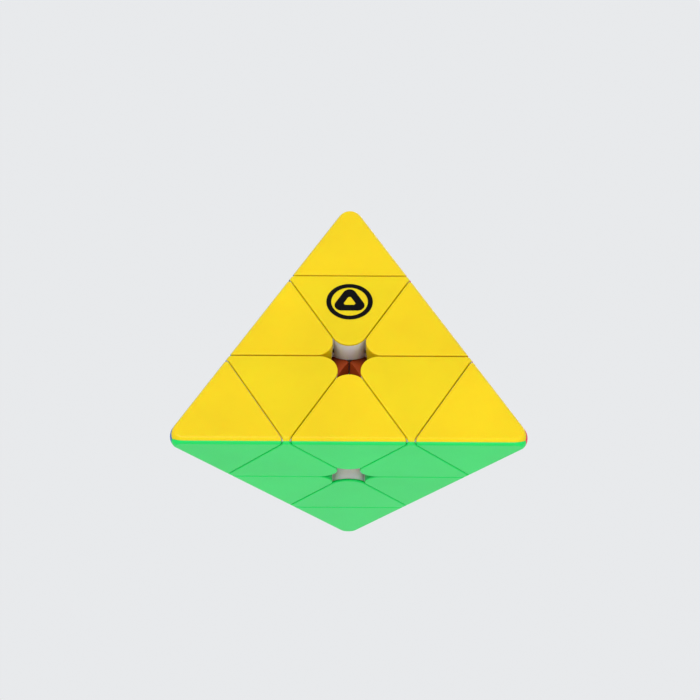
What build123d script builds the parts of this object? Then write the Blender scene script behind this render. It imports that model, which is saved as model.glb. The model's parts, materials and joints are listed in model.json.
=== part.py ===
"""Pyramid twisty puzzle: a tetrahedron of tips, axial pieces and edge pieces on a four-armed core.

Each kind of piece is built once, on the top corner with the puzzle's centre at the origin,
and is then seated on every corner, face or edge by the tetrahedron's twelve rotations.
Units are millimetres. The finished part stands on its bottom face, with the front face towards -Y.
"""
from build123d import *
from itertools import permutations
from math import asin, cos, radians, sin, sqrt, tan
import os

os.makedirs("parts", exist_ok=True)

# Whole pyramid
EDGE = 105.0                # edge of the sharp tetrahedron
EDGE_ROUND = 1.6            # rounding of the outer edges
NOSE_RADIUS = 3.9           # ball end of each corner
NOSE_DEPTH = 8.9            # distance of its centre from the sharp corner
NOSE_BLEND = 0.9            # rounding where the ball end meets the faces
NOSE_FLARE = 42.0           # half angle of the cone that runs on from the ball end, in degrees
SEAM = 0.3                  # gap between neighbouring pieces
LAYER_SHIFT = 0.37          # how far a layer cut lies outside its third of the height
TIP_SHIFT = 0.35            # how far a tip cut lies inside its third of the height
LIP_ROUND = 0.35            # rounding of the coloured shells along the seams

# Dished rim of each cut, where it turns to meet the outer edge squarely
RIM_WIDTH = 2.4
RIM_RADIUS = 4.5
TIP_RIM = 20.2              # distance from the corner's axis to the rim's outer end
LAYER_RIM = 40.4

# Shells
SHELL = 1.8                 # thickness of a tip's or an edge's coloured face
FACET = 0.7                 # thickness of an axial's coloured face
WALL = 1.6                  # thickness of side walls and webs
HOLE_ROUND = 5.2            # rounding, square to the face, of the six corners at its middle
ROUND_DEPTH = 14.0          # how deep those roundings go, past where the pieces' walls end
EDGE_STAND = 0.985          # they stand slightly proud of tangent, so that they cross both cuts
AXIAL_STAND = 0.975
RIDGE_ROUND = 1.0           # rounding of an edge piece's inner ridge
FRAME_RECESS = 0.3          # how much further the white frames stand back from each cut

# Mechanism
CORE_RADIUS = 6.0
FEET_INNER = 8.0            # sphere that the edge feet slide over
FEET_OUTER = 15.0           # sphere that they slide under
INNER_CUT = 3.0             # distance of the layer cuts from the centre inside that sphere
RUNNING_GAP = 0.15
ARM_RADIUS = 3.5
STEM_START = 7.0
POCKET_RADIUS = 6.0
POCKET_FLOOR = 20.0
BOSS_RADIUS = 7.5
FIT = 0.06                  # radial clearance of the turning fits

# Screw, spring and washer on each arm
SHANK_RADIUS = 1.25
SHANK_START = 9.0
HEAD_RADIUS = 3.2
HEAD_HEIGHT = 2.2
WASHER_RADIUS = 5.0
WASHER_THICKNESS = 0.6
SPRING_RADIUS = 2.4
SPRING_WIRE = 0.5
SPRING_LENGTH = 8.0
SPRING_PITCH = 1.6

# Tip stalk
STALK_END = 27.0
STALK_BORE = 4.6
BEAD = 0.25
SLOT_WIDTH = 1.2

HEIGHT = EDGE * sqrt(2 / 3)
CENTRE = HEIGHT / 4
LAYER_CUT = HEIGHT / 12 + LAYER_SHIFT
TIP_CUT = 5 * HEIGHT / 12 - TIP_SHIFT
FAR = 2 * EDGE
UPWARD = (Align.CENTER, Align.CENTER, Align.MIN)

# Directions from the centre to the four corners, and the face opposite each of them
CORNERS = {
    "top": Vector(0, 0, 1),
    "left": Vector(-sqrt(2 / 3), -sqrt(2) / 3, -1 / 3),
    "right": Vector(sqrt(2 / 3), -sqrt(2) / 3, -1 / 3),
    "back": Vector(0, 2 * sqrt(2) / 3, -1 / 3),
}
FACES = {"back": "front", "left": "right", "right": "left", "top": "bottom"}
TOP, LEFT, RIGHT, BACK = CORNERS.values()


def level(axis, distance):
    """The plane square to an axis, at a distance from the centre."""
    return Plane(origin=axis * distance, z_dir=axis)


def turned(first, second):
    """The frame that has one corner's axis as Z and a second corner on its X side."""
    sideways = second - first * first.dot(second)
    return Plane(origin=(0, 0, 0), x_dir=sideways, z_dir=first).location


def seat(first, second):
    """The rotation that carries top to the first corner and left to the second."""
    return turned(first, second) * turned(TOP, LEFT).inverse()


def tetrahedron(inset):
    """The sharp pyramid, with its faces moved inwards."""
    with BuildPart() as solid:
        Box(FAR, FAR, FAR)
        for axis in CORNERS.values():
            split(bisect_by=level(-axis, CENTRE - inset), keep=Keep.BOTTOM)
    return solid.part


def cap(height, rim):
    """Everything beyond a dished cut of the top corner, as a solid of revolution."""
    flat = rim - RIM_WIDTH
    slope = asin(RIM_WIDTH / RIM_RADIUS)
    rise = RIM_RADIUS - sqrt(RIM_RADIUS**2 - RIM_WIDTH**2)
    reach = EDGE - rim
    with BuildPart() as solid:
        with BuildSketch(Plane.XZ):
            with BuildLine():
                Polyline((0, FAR), (0, height), (flat, height))
                RadiusArc((flat, height), (rim, height + rise), -RIM_RADIUS)
                Polyline(
                    (rim, height + rise),
                    (EDGE, height + rise + reach * tan(slope)),
                    (EDGE, FAR),
                    (0, FAR),
                )
            make_face()
        revolve(axis=Axis.Z)
    return solid.part


def nose():
    """What the ball end leaves out of the sharp top corner."""
    centre = 3 * CENTRE - NOSE_DEPTH
    flare = radians(NOSE_FLARE)
    side = NOSE_RADIUS * cos(flare)
    shoulder = centre + NOSE_RADIUS * sin(flare)
    reach = 2 * NOSE_DEPTH
    with BuildPart() as solid:
        with BuildSketch(Plane.XZ):
            with BuildLine():
                RadiusArc((0, centre + NOSE_RADIUS), (side, shoulder), NOSE_RADIUS)
                Polyline(
                    (side, shoulder),
                    (side + reach * sin(flare), shoulder - reach * cos(flare)),
                    (side + reach * sin(flare), 4 * CENTRE),
                    (0, 4 * CENTRE),
                    (0, centre + NOSE_RADIUS),
                )
            make_face()
        revolve(axis=Axis.Z)
    return solid.part


all_corners = [seat(TOP, LEFT), seat(LEFT, TOP), seat(RIGHT, TOP), seat(BACK, TOP)]
with BuildPart() as hull:
    add(tetrahedron(0))
    fillet(hull.edges(), radius=EDGE_ROUND)
    with Locations(all_corners):
        add(nose(), mode=Mode.SUBTRACT)
    reach = 3 * CENTRE - 2 * NOSE_DEPTH
    creases = hull.edges().filter_by(lambda e: e.geom_type != GeomType.LINE and (e @ 0.5).length > reach)
    fillet(creases, radius=NOSE_BLEND)

inside = tetrahedron(SHELL)
under_facet = tetrahedron(FACET)
tip_inner = cap(TIP_CUT + SEAM / 2, TIP_RIM)
tip_outer = cap(TIP_CUT - SEAM / 2, TIP_RIM)
layer_inner = cap(LAYER_CUT + SEAM / 2, LAYER_RIM)
layer_outer = cap(LAYER_CUT - SEAM / 2, LAYER_RIM)


def write(solids, name):
    """Lift a node's solids so that the pyramid stands on Z = 0, and write them out."""
    with BuildPart() as node:
        for solid in solids:
            add(Pos(0, 0, CENTRE) * solid)
    node.part.label = name
    export_step(node.part, f"parts/{name}.step")


def seam_edges(solid):
    """The edges of a piece that run along its seams, on the outside of the pyramid."""
    chosen = []
    for edge in solid.edges():
        middle = edge @ 0.5
        on_surface = min(face.distance_to(middle) for face in hull.faces()) < 0.01
        on_ridge = min(ridge.distance_to(middle) for ridge in hull.edges()) < 0.01
        if on_surface and not on_ridge:
            chosen.append(edge)
    return chosen


def wedge(first, second, height, rounding):
    """Everything beyond two layer cuts, with the ridge between them rounded."""
    with BuildPart() as solid:
        Box(FAR, FAR, FAR)
        split(bisect_by=level(first, height), keep=Keep.TOP)
        split(bisect_by=level(second, height), keep=Keep.TOP)
        ridge = solid.edges().sort_by(lambda e: (e @ 0.5).length)[0]
        fillet(ridge, radius=rounding)
    return solid.part


def sector(first, second):
    """The half-space pair between two planes through the top corner's axis."""
    with BuildPart() as solid:
        Box(FAR, FAR, FAR)
        split(bisect_by=Plane(origin=(0, 0, 0), z_dir=first), keep=Keep.TOP)
        split(bisect_by=Plane(origin=(0, 0, 0), z_dir=second), keep=Keep.TOP)
    return solid.part


def face_corner(first, second, opposite, side, radius):
    """What a rounding square to a face leaves out of a corner between two layer cuts.

    The corner lies on the face opposite a third corner of the pyramid. An edge piece is
    beyond both cuts, side 1, and an axial piece is short of both, side -1. A radius less
    than the outer rounding keeps the same centre, for an inner wall.
    """
    bisector = (first + second + opposite * (2 / 3)).normalized()
    along = (LAYER_CUT + side * SEAM / 2 - CENTRE / 3) / bisector.dot(first)
    centre = 2 * HOLE_ROUND * (EDGE_STAND if side > 0 else AXIAL_STAND)
    tangent = centre * cos(radians(30)) ** 2
    origin = opposite * -CENTRE + bisector * along
    with BuildPart() as solid:
        with BuildSketch(Plane(origin=origin, x_dir=bisector * side, z_dir=opposite)):
            with Locations((tangent, 0)):
                Rectangle(2 * HOLE_ROUND, 3 * HOLE_ROUND, align=(Align.MAX, Align.CENTER))
            with Locations((centre, 0)):
                Circle(radius, mode=Mode.SUBTRACT)
        extrude(amount=ROUND_DEPTH)
        extrude(solid.faces().sort_by(lambda f: -f.center().dot(opposite))[0], amount=SHELL)
    return solid.part


# The front face's share of a piece lies between the planes through the two outer edges beside it
front_sector = sector(RIGHT - BACK, LEFT - BACK)

# Tip: three coloured shells on a white base with a hollow snap stalk
with BuildPart() as tip_solid:
    add(hull.part)
    add(tip_inner, mode=Mode.INTERSECT)
    fillet(seam_edges(tip_solid), radius=LIP_ROUND)

with BuildPart() as tip_shell:
    add(tip_solid.part)
    add(inside, mode=Mode.SUBTRACT)
    add(front_sector, mode=Mode.INTERSECT)

with BuildPart() as tip_base:
    add(inside)
    add(tip_inner, mode=Mode.INTERSECT)
    split(bisect_by=level(TOP, TIP_CUT + SEAM / 2 + 3 * WALL), keep=Keep.BOTTOM)
    with Locations((0, 0, TIP_CUT + 4.5 * WALL)):
        Cylinder(POCKET_RADIUS - FIT - WALL, 6 * WALL, mode=Mode.SUBTRACT)
    with BuildSketch(Plane.XZ):
        with BuildLine():
            Polyline(
                (STALK_BORE, TIP_CUT + 1),
                (STALK_BORE, STALK_END),
                (POCKET_RADIUS - FIT, STALK_END),
                (POCKET_RADIUS - FIT + BEAD, STALK_END + BEAD),
                (POCKET_RADIUS - FIT + BEAD, STALK_END + 3 * BEAD),
                (POCKET_RADIUS - FIT, STALK_END + 4 * BEAD),
                (POCKET_RADIUS - FIT, TIP_CUT + 1),
                close=True,
            )
        make_face()
    revolve(axis=Axis.Z)
    with Locations((0, 0, STALK_END)):
        with PolarLocations(POCKET_RADIUS, 3, start_angle=90):
            Box(2 * SLOT_WIDTH, SLOT_WIDTH, TIP_CUT - STALK_END, mode=Mode.SUBTRACT)

# Edge: two hollow coloured halves clipped over a white foot
edge_mirror = seat(LEFT, TOP)
with BuildPart() as edge_solid:
    add(hull.part)
    add(layer_inner, mode=Mode.INTERSECT)
    with Locations(edge_mirror):
        add(layer_inner, mode=Mode.INTERSECT)
    ridge = edge_solid.edges().sort_by(lambda e: (e @ 0.5).length)[0]
    fillet(ridge, radius=RIDGE_ROUND)
    for opposite in (BACK, RIGHT):
        add(face_corner(TOP, LEFT, opposite, 1, HOLE_ROUND), mode=Mode.SUBTRACT)
    fillet(seam_edges(edge_solid), radius=LIP_ROUND)

foot_axis = (TOP + LEFT).normalized()
foot_plane = Plane(origin=(0, 0, 0), x_dir=(TOP - LEFT).normalized(), z_dir=foot_axis)
foot_wedge = wedge(TOP, LEFT, LAYER_CUT + SEAM / 2, 0.01)
with BuildPart() as foot_stub:
    with BuildSketch(foot_plane):
        RectangleRounded(4.4, 14, 1)
    extrude(amount=FEET_OUTER + 3)
    add(foot_wedge, mode=Mode.INTERSECT)

with BuildPart() as hollow:
    add(inside)
    add(wedge(TOP, LEFT, LAYER_CUT + SEAM / 2 + WALL, RIDGE_ROUND), mode=Mode.INTERSECT)
    for opposite in (BACK, RIGHT):
        add(face_corner(TOP, LEFT, opposite, 1, HOLE_ROUND - WALL), mode=Mode.SUBTRACT)

with BuildPart() as edge_shell:
    add(edge_solid.part)
    add(hollow.part, mode=Mode.SUBTRACT)
    add(foot_stub.part, mode=Mode.SUBTRACT)
    split(bisect_by=Plane(origin=(0, 0, 0), z_dir=RIGHT - BACK), keep=Keep.TOP)

with BuildPart() as edge_foot:
    Sphere(FEET_OUTER - RUNNING_GAP)
    Sphere(FEET_INNER, mode=Mode.SUBTRACT)
    for axis in (TOP, LEFT):
        split(bisect_by=level(axis, INNER_CUT + RUNNING_GAP), keep=Keep.TOP)
    for axis in (RIGHT, BACK):
        split(bisect_by=level(axis, INNER_CUT - RUNNING_GAP), keep=Keep.BOTTOM)
    add(foot_stub.part)

# Axial: three coloured facets on a white frame that turns on the core's arm
layer_seats = [seat(LEFT, TOP), seat(RIGHT, TOP), seat(BACK, TOP)]
thirds = [seat(TOP, LEFT), seat(TOP, RIGHT), seat(TOP, BACK)]
with BuildPart() as axial_solid:
    add(hull.part)
    add(layer_inner, mode=Mode.INTERSECT)
    add(tip_outer, mode=Mode.SUBTRACT)
    with Locations(layer_seats):
        add(layer_outer, mode=Mode.SUBTRACT)
    with Locations(thirds):
        add(face_corner(LEFT, RIGHT, BACK, -1, HOLE_ROUND), mode=Mode.SUBTRACT)
    fillet(seam_edges(axial_solid), radius=LIP_ROUND)

with BuildPart() as axial_shell:
    add(axial_solid.part)
    add(under_facet, mode=Mode.SUBTRACT)
    add(front_sector, mode=Mode.INTERSECT)

# The frame is an open tray: a floor and three walls along the layer cuts, a deck and a central boss
frame_inset = (SEAM + FRAME_RECESS) / 2
with BuildPart() as frame_outline:
    add(under_facet)
    split(bisect_by=level(TOP, LAYER_CUT + frame_inset), keep=Keep.TOP)
    add(tip_outer, mode=Mode.SUBTRACT)
    for axis in (LEFT, RIGHT, BACK):
        split(bisect_by=level(axis, LAYER_CUT - frame_inset), keep=Keep.BOTTOM)
    with Locations(layer_seats):
        add(layer_outer, mode=Mode.SUBTRACT)
    with Locations(thirds):
        add(face_corner(LEFT, RIGHT, BACK, -1, HOLE_ROUND - FRAME_RECESS / 2), mode=Mode.SUBTRACT)

with BuildPart() as frame_pocket:
    add(tetrahedron(FACET / 2))
    split(bisect_by=level(TOP, LAYER_CUT + frame_inset + WALL), keep=Keep.TOP)
    split(bisect_by=level(TOP, TIP_CUT - SEAM / 2 - WALL), keep=Keep.BOTTOM)
    for axis in (LEFT, RIGHT, BACK):
        split(bisect_by=level(axis, LAYER_CUT - frame_inset - WALL), keep=Keep.BOTTOM)
    with Locations(thirds):
        add(face_corner(LEFT, RIGHT, BACK, -1, HOLE_ROUND - 2 * WALL), mode=Mode.SUBTRACT)
    Sphere(FEET_OUTER + RUNNING_GAP + WALL, mode=Mode.SUBTRACT)
    Cylinder(BOSS_RADIUS, FAR, mode=Mode.SUBTRACT)

stem_side = 2 * sqrt(2) / 3     # how fast a neighbouring layer's distance grows across the axis
stem_foot = (INNER_CUT - RUNNING_GAP + STEM_START / 3) / stem_side
stem_head = (INNER_CUT - RUNNING_GAP + FEET_OUTER / 3) / stem_side
with BuildPart() as axial_frame:
    add(frame_outline.part)
    add(frame_pocket.part, mode=Mode.SUBTRACT)
    Sphere(FEET_OUTER + RUNNING_GAP, mode=Mode.SUBTRACT)
    with BuildSketch(Plane.XZ):
        Polygon(
            (0, STEM_START),
            (stem_foot, STEM_START),
            (stem_head, FEET_OUTER),
            (stem_head, FEET_OUTER + WALL),
            (0, FEET_OUTER + WALL),
            align=None,
        )
    revolve(axis=Axis.Z)
    Cylinder(ARM_RADIUS + FIT, FAR, mode=Mode.SUBTRACT)
    with Locations((0, 0, POCKET_FLOOR)):
        Cylinder(POCKET_RADIUS, FAR, align=UPWARD, mode=Mode.SUBTRACT)
    with Locations((0, 0, STALK_END)):
        Cylinder(POCKET_RADIUS + 2 * BEAD, 5 * BEAD, align=UPWARD, mode=Mode.SUBTRACT)

# Core: a ball with an arm to each corner, bored for the screws
arm_end = POCKET_FLOOR - SEAM
with BuildPart() as core_cross:
    Sphere(CORE_RADIUS)
    for corner in CORNERS.values():
        with BuildSketch(level(corner, 0)):
            Circle(ARM_RADIUS)
        extrude(amount=arm_end)
    for corner in CORNERS.values():
        with BuildSketch(level(corner, SHANK_START)):
            Circle(SHANK_RADIUS)
        extrude(amount=FAR, mode=Mode.SUBTRACT)

head_start = POCKET_FLOOR + WASHER_THICKNESS + SPRING_LENGTH
with BuildPart() as screw:
    with BuildSketch(Plane.XY.offset(SHANK_START)):
        Circle(SHANK_RADIUS)
    extrude(amount=head_start - SHANK_START)
    with BuildSketch(Plane.XY.offset(head_start)):
        Circle(HEAD_RADIUS)
    extrude(amount=HEAD_HEIGHT)
    fillet(screw.edges().sort_by(Axis.Z)[-1], radius=HEAD_HEIGHT / 3)
    with BuildSketch(Plane.XY.offset(head_start + HEAD_HEIGHT)):
        Rectangle(HEAD_RADIUS, HEAD_RADIUS / 4)
        Rectangle(HEAD_RADIUS / 4, HEAD_RADIUS)
    extrude(amount=-HEAD_HEIGHT / 2, mode=Mode.SUBTRACT)

with BuildPart() as washer:
    with BuildSketch(Plane.XY.offset(POCKET_FLOOR)):
        Circle(WASHER_RADIUS)
        Circle(SHANK_RADIUS + FIT, mode=Mode.SUBTRACT)
    extrude(amount=WASHER_THICKNESS)

spring_start = POCKET_FLOOR + WASHER_THICKNESS + SPRING_WIRE
with BuildPart() as spring:
    with BuildLine():
        coil_height = SPRING_LENGTH - 2 * SPRING_WIRE
        coil = Helix(SPRING_PITCH, coil_height, SPRING_RADIUS, center=(0, 0, spring_start))
    with BuildSketch(Plane(origin=coil @ 0, z_dir=coil % 0)):
        Circle(SPRING_WIRE)
    sweep()

# Seat every piece. An even order of the four corners is a rotation of the whole pyramid
names = list(CORNERS)
for order in permutations(names):
    swaps = sum(names.index(a) > names.index(b) for i, a in enumerate(order) for b in order[i + 1:])
    if swaps % 2:
        continue
    first, second, third, fourth = order
    place = seat(CORNERS[first], CORNERS[second])
    face = FACES[fourth]
    rank = sorted((first, second), key=names.index)
    write([place * tip_shell.part], f"tip_{first}_{face}_shell")
    write([place * axial_shell.part], f"axial_{first}_{face}_facet")
    write([place * edge_shell.part], f"edge_{rank[0]}_{rank[1]}_{face}_shell")
    if second == min((n for n in names if n != first), key=names.index):
        write([place * tip_base.part], f"tip_{first}_base")
        write([place * axial_frame.part], f"axial_{first}_frame")
    if (first, second) == tuple(rank):
        write([place * edge_foot.part], f"edge_{first}_{second}_foot")

write([core_cross.part], "core_cross")
write([place * screw.part for place in all_corners], "core_screws")
write([place * washer.part for place in all_corners], "spring_washers")
write([place * spring.part for place in all_corners], "tension_springs")
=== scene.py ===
"""Looks and studio for the pyramid twisty puzzle: coloured-through plastics, feet coloured with
painted shade and painted warm bounced light, steel hardware, a generic printed mark, a pale floor,
soft lights and a camera a little below the base."""
import json
import math

import bmesh
import bpy
from mathutils import Matrix, Vector


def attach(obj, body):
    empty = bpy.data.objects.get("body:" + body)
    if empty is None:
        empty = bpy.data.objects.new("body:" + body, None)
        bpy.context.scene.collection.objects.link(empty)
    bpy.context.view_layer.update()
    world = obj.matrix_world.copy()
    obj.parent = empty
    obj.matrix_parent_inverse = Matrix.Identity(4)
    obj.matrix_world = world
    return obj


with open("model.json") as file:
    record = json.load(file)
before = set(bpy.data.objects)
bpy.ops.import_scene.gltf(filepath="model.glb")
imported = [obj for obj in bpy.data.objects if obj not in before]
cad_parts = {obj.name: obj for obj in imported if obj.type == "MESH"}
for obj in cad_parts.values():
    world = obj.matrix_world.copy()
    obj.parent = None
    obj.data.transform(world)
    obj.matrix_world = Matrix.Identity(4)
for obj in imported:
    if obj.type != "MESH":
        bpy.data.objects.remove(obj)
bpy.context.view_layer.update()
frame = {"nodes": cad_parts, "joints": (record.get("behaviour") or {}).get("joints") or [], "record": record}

# ---------------------------------------------------------------- the pyramid, from the frame
CENTRE = Vector(frame["joints"][0]["pos_m"])        # the point that every turning axis crosses
INRADIUS = CENTRE.z                                 # the pyramid stands on a face
BACK_AXIS = Vector((0, 2 * math.sqrt(2) / 3, -1 / 3))
FRONT_NORMAL = -BACK_AXIS
FRONT_CENTRE = CENTRE + FRONT_NORMAL * INRADIUS
FACE_UP = FRONT_NORMAL.cross(Vector((1, 0, 0))).normalized()
FACE_UP = FACE_UP if FACE_UP.z > 0 else -FACE_UP
CELL = INRADIUS * 2 * math.sqrt(6) / 3              # a third of the sharp edge

# ---------------------------------------------------------------- colours, linear RGB
YELLOW = (0.725, 0.518, 0.0015)
GREEN = (0.005, 0.615, 0.108)
BLUE = (0.008, 0.105, 0.42)
RED = (0.70, 0.010, 0.045)
WHITE = (0.80, 0.79, 0.76)
CORE_GREY = (0.62, 0.60, 0.57)
# the feet's dark orange-red is painted shade and painted warm light bounced off the shells around them, deep
# inside the puzzle
FOOT_PAINTED_SHADE = (0.36, 0.052, 0.008)
INK = (0.002, 0.002, 0.0025)
STEEL = (0.56, 0.56, 0.57)
FLOOR = (0.86, 0.87, 0.89)

# ---------------------------------------------------------------- surfaces
SATIN = (0.30, 0.40)                # roughness of the coloured shells, from and to
PLAIN = (0.42, 0.55)                # roughness of the white inner parts
ACETAL = (0.40, 0.52)               # roughness of the core
FOOT_ACETAL = (0.40, 0.55)          # roughness of the feet
ZINC = (0.22, 0.42)                 # roughness of the steel
DRY_INK = (0.38, 0.52)              # roughness of the printed mark
PLASTIC_SPECULAR = 0.2
INK_SPECULAR = 0.03
GLOW_RADIUS = (1.0, 0.35, 0.1)      # how far red, green and blue light go under the surface
GLOW_SCALE = 0.003
FLOW_MARKS = 38                     # noise scales, for coordinates in metres
WAVES = 60
GRAIN = 3200
PLATING = 900
INK_MOTTLE = 1500
FLOOR_MOTTLE = 14
WAVE_STRENGTH = 0.12
WAVE_DEPTH = 0.0004
GRAIN_DEPTH = 0.00004
PLATING_STRENGTH = 0.15
PLATING_DEPTH = 0.00003
INK_STRENGTH = 0.10
INK_DEPTH = 0.00002


def link(tree, source, target):
    tree.links.new(source, target)


def new_material(name):
    material = bpy.data.materials.new(name)
    material.use_nodes = True
    tree = material.node_tree
    return material, tree, tree.nodes["Principled BSDF"]


def object_place(tree):
    return tree.nodes.new("ShaderNodeTexCoord").outputs["Object"]


def scaled(colour, factor):
    return tuple(channel * factor for channel in colour)


def noise(tree, coordinates, scale, detail):
    node = tree.nodes.new("ShaderNodeTexNoise")
    node.inputs["Scale"].default_value = scale
    node.inputs["Detail"].default_value = detail
    link(tree, coordinates, node.inputs["Vector"])
    return node.outputs["Fac"]


def remap(tree, value, low, high):
    """Stretches a noise's values from 0.3 to 0.7 so that they run from low to high."""
    node = tree.nodes.new("ShaderNodeMapRange")
    node.inputs["From Min"].default_value = 0.3
    node.inputs["From Max"].default_value = 0.7
    node.inputs["To Min"].default_value = low
    node.inputs["To Max"].default_value = high
    link(tree, value, node.inputs["Value"])
    return node.outputs["Result"]


def tint(tree, factor, dark, light):
    node = tree.nodes.new("ShaderNodeMix")
    node.data_type = "RGBA"
    node.inputs["A"].default_value = (*dark, 1)
    node.inputs["B"].default_value = (*light, 1)
    link(tree, factor, node.inputs["Factor"])
    return node.outputs["Result"]


def bump(tree, height, strength, distance, below=None):
    node = tree.nodes.new("ShaderNodeBump")
    node.inputs["Strength"].default_value = strength
    node.inputs["Distance"].default_value = distance
    link(tree, height, node.inputs["Height"])
    if below:
        link(tree, below, node.inputs["Normal"])
    return node.outputs["Normal"]


def moulded_plastic(name, colour, shade=0.9, roughness=SATIN, glow=0.35, grain=0.10):
    """Plastic coloured all through: faint flow marks, a satin spark-eroded grain, a slow waviness
    and a little light scattered under the surface."""
    material, tree, shader = new_material(name)
    place = object_place(tree)
    flow = noise(tree, place, FLOW_MARKS, detail=4)
    fine = noise(tree, place, GRAIN, detail=2)
    wave = noise(tree, place, WAVES, detail=1)
    body = tint(tree, remap(tree, flow, 0, 1), scaled(colour, shade), colour)
    link(tree, body, shader.inputs["Base Color"])
    link(tree, remap(tree, fine, *roughness), shader.inputs["Roughness"])
    slow = bump(tree, wave, WAVE_STRENGTH, WAVE_DEPTH)
    link(tree, bump(tree, fine, grain, GRAIN_DEPTH, slow), shader.inputs["Normal"])
    shader.inputs["Specular IOR Level"].default_value = PLASTIC_SPECULAR
    shader.inputs["Subsurface Weight"].default_value = glow
    shader.inputs["Subsurface Radius"].default_value = GLOW_RADIUS
    shader.inputs["Subsurface Scale"].default_value = GLOW_SCALE
    return material


def plated_steel(name):
    material, tree, shader = new_material(name)
    place = object_place(tree)
    fine = noise(tree, place, PLATING, detail=5)
    body = tint(tree, remap(tree, fine, 0, 1), scaled(STEEL, 0.8), STEEL)
    link(tree, body, shader.inputs["Base Color"])
    link(tree, remap(tree, fine, *ZINC), shader.inputs["Roughness"])
    link(tree, bump(tree, fine, PLATING_STRENGTH, PLATING_DEPTH), shader.inputs["Normal"])
    shader.inputs["Metallic"].default_value = 1.0
    return material


def printed_ink(name):
    material, tree, shader = new_material(name)
    place = object_place(tree)
    mottle = noise(tree, place, INK_MOTTLE, detail=3)
    body = tint(tree, remap(tree, mottle, 0, 1), INK, scaled(INK, 2))
    link(tree, body, shader.inputs["Base Color"])
    link(tree, remap(tree, mottle, *DRY_INK), shader.inputs["Roughness"])
    link(tree, bump(tree, mottle, INK_STRENGTH, INK_DEPTH), shader.inputs["Normal"])
    shader.inputs["Specular IOR Level"].default_value = INK_SPECULAR
    return material


MATERIALS = {
    "yellow_plastic": moulded_plastic("yellow_abs", YELLOW),
    "green_plastic": moulded_plastic("green_abs", GREEN),
    "blue_plastic": moulded_plastic("blue_abs", BLUE),
    "red_plastic": moulded_plastic("red_abs", RED),
    "white_plastic": moulded_plastic("white_abs", WHITE, 0.94, PLAIN, grain=0.18),
    "core_plastic": moulded_plastic("grey_acetal", CORE_GREY, 0.92, ACETAL, glow=0.10, grain=0.15),
    # the feet get a painted colour: dark orange-red for the shade deep inside the puzzle and the warm light
    # bounced into it
    "foot_plastic": moulded_plastic("orange_acetal", FOOT_PAINTED_SHADE, 0.8, FOOT_ACETAL, glow=0.0, grain=0.15),
    "steel": plated_steel("zinc_steel"),
}

for part in frame["record"]["subparts"]:
    node = frame["nodes"][part["node"]]
    node.data.materials.clear()
    node.data.materials.append(MATERIALS[part["material_slot"]])

# ---------------------------------------------------------------- generic printed mark
MARK_RADIUS = 0.0066
MARK_LINE = 0.0014
MARK_HEIGHT = 0.00004
MARK_TRIANGLE = 0.0032          # corner distance of the triangle inside the ring
MARK_CORNER = 0.4 * MARK_LINE   # rounding of the triangle's hole, one line less than its outside
RING_STEPS = 96
CORNER_STEPS = 12


def closed_band(mesh, outer, inner, height):
    """A flat raised band between two closed outlines with the same number of points."""
    rings = []
    for outline, level in ((outer, 0), (outer, height), (inner, height), (inner, 0)):
        rings.append([mesh.verts.new((x, y, level)) for x, y in outline])
    count = len(outer)
    for lower, upper in zip(rings, rings[1:] + rings[:1]):
        for i in range(count):
            j = (i + 1) % count
            mesh.faces.new((lower[i], lower[j], upper[j], upper[i]))


def circle(radius):
    angles = [2 * math.pi * i / RING_STEPS for i in range(RING_STEPS)]
    return [(radius * math.cos(a), radius * math.sin(a)) for a in angles]


def rounded_triangle(reach, rounding):
    """An upright triangle whose rounded corners reach this far from its middle."""
    points = []
    centre = reach - rounding
    for corner in range(3):
        middle = math.pi / 2 + corner * 2 * math.pi / 3
        for i in range(CORNER_STEPS + 1):
            a = middle + (i / CORNER_STEPS - 0.5) * 2 * math.pi / 3
            x = centre * math.cos(middle) + rounding * math.cos(a)
            y = centre * math.sin(middle) + rounding * math.sin(a)
            points.append((x, y))
    return points


def printed_mark():
    mesh = bmesh.new()
    closed_band(mesh, circle(MARK_RADIUS), circle(MARK_RADIUS - MARK_LINE), MARK_HEIGHT)
    outer = rounded_triangle(MARK_TRIANGLE + MARK_LINE, MARK_CORNER + MARK_LINE)
    inner = rounded_triangle(MARK_TRIANGLE - MARK_LINE, MARK_CORNER)
    closed_band(mesh, outer, inner, MARK_HEIGHT)
    bmesh.ops.recalc_face_normals(mesh, faces=mesh.faces)
    centre = FRONT_CENTRE + FACE_UP * CELL / math.sqrt(3)
    turn = Matrix((Vector((1, 0, 0)), FACE_UP, FRONT_NORMAL)).transposed().to_4x4()
    mesh.transform(Matrix.Translation(centre) @ turn)
    data = bpy.data.meshes.new("printed_mark")
    mesh.to_mesh(data)
    mesh.free()
    mark = bpy.data.objects.new("printed_mark", data)
    bpy.context.collection.objects.link(mark)
    data.materials.append(printed_ink("black_ink"))
    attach(mark, "top_layer")


printed_mark()

# ---------------------------------------------------------------- stage
FLOOR_SIZE = 6.0
FLOOR_ROUGHNESS = 0.85
FLOOR_DROP = 0.0001                 # keeps the floor off the bottom face
SKY = (0.95, 0.965, 0.985)
SKY_STRENGTH = 0.85


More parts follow.
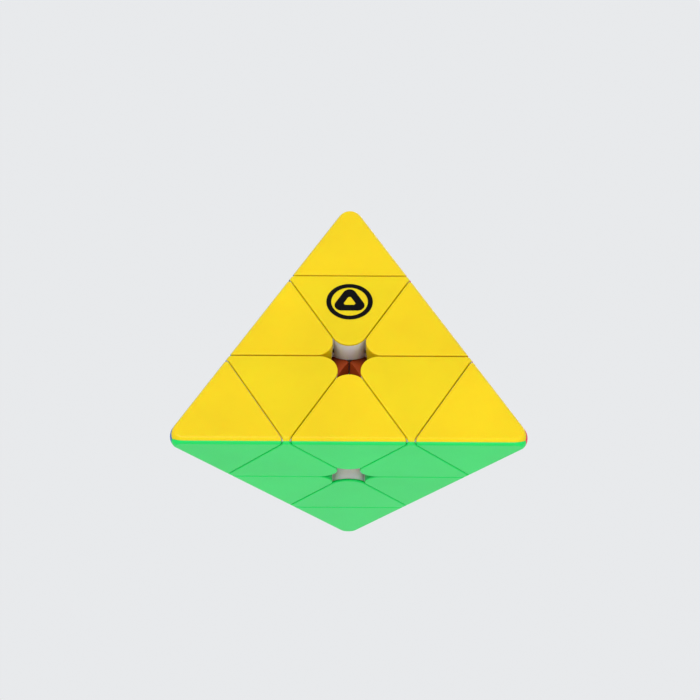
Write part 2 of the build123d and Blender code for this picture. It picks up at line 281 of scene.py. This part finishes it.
def one_way_floor():
    """A pale floor for a camera above it. From below, and for light, it isn't there,
    because the object is looked at from under its base and its bottom face is lit."""
    bpy.ops.mesh.primitive_plane_add(size=FLOOR_SIZE, location=(0, 0, -FLOOR_DROP))
    floor = bpy.context.object
    floor.name = "floor"
    material, tree, shader = new_material("pale_floor")
    shader.inputs["Roughness"].default_value = FLOOR_ROUGHNESS
    place = object_place(tree)
    mottle = noise(tree, place, FLOOR_MOTTLE, detail=5)
    body = tint(tree, remap(tree, mottle, 0, 1), scaled(FLOOR, 0.97), FLOOR)
    link(tree, body, shader.inputs["Base Color"])
    path = tree.nodes.new("ShaderNodeLightPath")
    side = tree.nodes.new("ShaderNodeNewGeometry")
    above = tree.nodes.new("ShaderNodeMath")
    above.operation = "SUBTRACT"
    above.use_clamp = True
    link(tree, path.outputs["Is Camera Ray"], above.inputs[0])
    link(tree, side.outputs["Backfacing"], above.inputs[1])
    clear = tree.nodes.new("ShaderNodeBsdfTransparent")
    mix = tree.nodes.new("ShaderNodeMixShader")
    link(tree, above.outputs[0], mix.inputs["Fac"])
    link(tree, clear.outputs[0], mix.inputs[1])
    link(tree, shader.outputs[0], mix.inputs[2])
    link(tree, mix.outputs[0], tree.nodes["Material Output"].inputs["Surface"])
    floor.data.materials.append(material)


def area_light(name, location, size, power):
    data = bpy.data.lights.new(name, "AREA")
    data.shape = "DISK"
    data.size = size
    data.energy = power
    lamp = bpy.data.objects.new(name, data)
    lamp.location = location
    lamp.rotation_euler = (CENTRE - Vector(location)).to_track_quat("-Z", "Y").to_euler()
    bpy.context.collection.objects.link(lamp)


def studio():
    world = bpy.data.worlds.new("studio")
    bpy.context.scene.world = world
    world.use_nodes = True
    sky = world.node_tree.nodes["Background"]
    sky.inputs["Color"].default_value = (*SKY, 1)
    sky.inputs["Strength"].default_value = SKY_STRENGTH
    area_light("key", (-0.4, -1.15, 0.5), 0.7, 8)
    area_light("fill", (0.8, -0.9, 0.1), 0.9, 2.5)
    area_light("under", (0.1, -0.5, -0.9), 0.8, 4.5)
    area_light("rim", (0.3, 1.0, 0.8), 0.8, 2)


# ---------------------------------------------------------------- camera
VIEW_ELEVATION = math.radians(-20.0)
VIEW_ROLL = math.radians(0.33)
VIEW_DISTANCE = 0.8381
VIEW_OFFSET = (0.0002, 0.0019)      # how far right of and above the front face's middle the view aims
LENS = 154.3
SENSOR = 36.0
CLIP_START = 0.01


def add_camera():
    ahead = Vector((0, math.cos(VIEW_ELEVATION), -math.sin(VIEW_ELEVATION)))
    right = Vector((1, 0, 0))
    up = right.cross(ahead)
    aim = FRONT_CENTRE + right * VIEW_OFFSET[0] + up * VIEW_OFFSET[1]
    data = bpy.data.cameras.new("camera")
    data.lens = LENS
    data.sensor_width = SENSOR
    data.clip_start = CLIP_START
    camera = bpy.data.objects.new("camera", data)
    turn = Matrix((right, up, -ahead)).transposed().to_4x4()
    place = Matrix.Translation(aim - ahead * VIEW_DISTANCE)
    camera.matrix_world = place @ turn @ Matrix.Rotation(VIEW_ROLL, 4, "Z")
    bpy.context.collection.objects.link(camera)
    bpy.context.scene.camera = camera


one_way_floor()
studio()
add_camera()
bpy.context.scene.view_settings.view_transform = "Standard"
